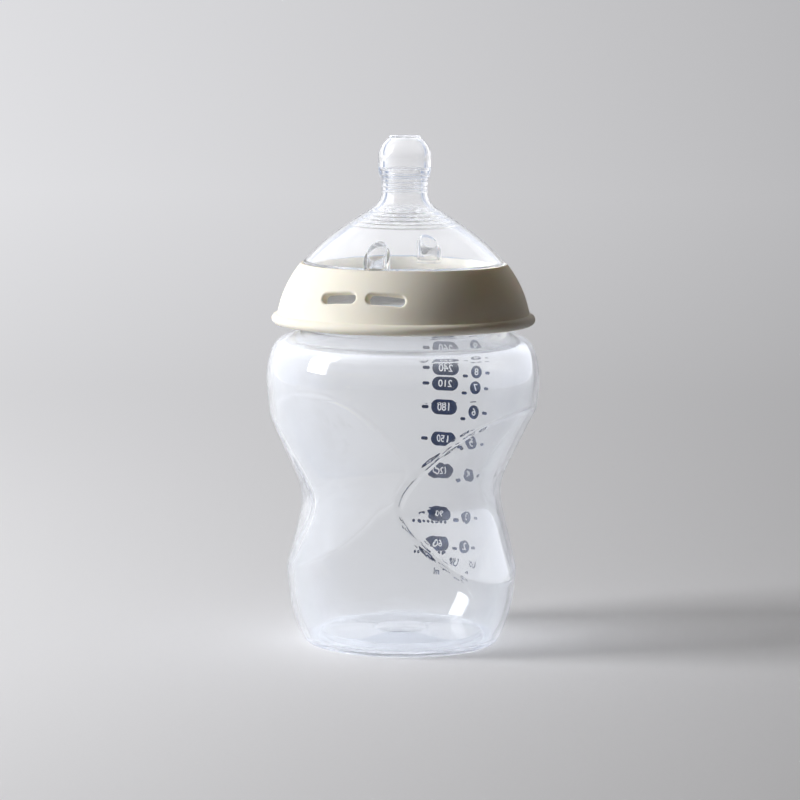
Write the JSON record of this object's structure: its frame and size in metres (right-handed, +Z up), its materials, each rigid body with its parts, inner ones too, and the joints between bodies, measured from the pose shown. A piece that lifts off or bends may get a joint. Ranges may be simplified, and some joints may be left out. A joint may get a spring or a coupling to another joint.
{
  "type": "baby bottle",
  "caption": "Waisted translucent feeding bottle with grip recesses, a domed screw ring that turns on a real thread, and a soft vented teat clamped under it.",
  "frame": {"origin": "centre of the bottle's standing face", "axes": "+Z up along the screw axis, -Y towards the front of the bottle, grip recesses on +X and -X"},
  "size_m": [0.077, 0.077, 0.1432],
  "materials": {
    "bottle_plastic": "glossy clarified polypropylene, slightly milky",
    "ring_plastic": "satin moulded polypropylene, warm white",
    "teat_silicone": "clear glossy silicone"
  },
  "bodies": {
    "bottle": {"bottle_body": "bottle_plastic"},
    "teat": {"teat": "teat_silicone"},
    "ring": {"screw_ring": "ring_plastic"}
  },
  "joints": [
    {"name": "teat_lift", "type": "slide", "parent": "bottle", "child": "teat", "axis": [0, 0, 1], "range_m": [0, 0.0045]},
    {"name": "ring_turn", "type": "hinge", "parent": "teat", "child": "ring", "pos_m": [0, 0, 0.0972], "axis": [0, 0, 1], "range_deg": [0, 360]}
  ],
  "couplings": [
    {"joint": "teat_lift", "follows": "ring_turn", "m_per_rad": 0.0007162}
  ]
}
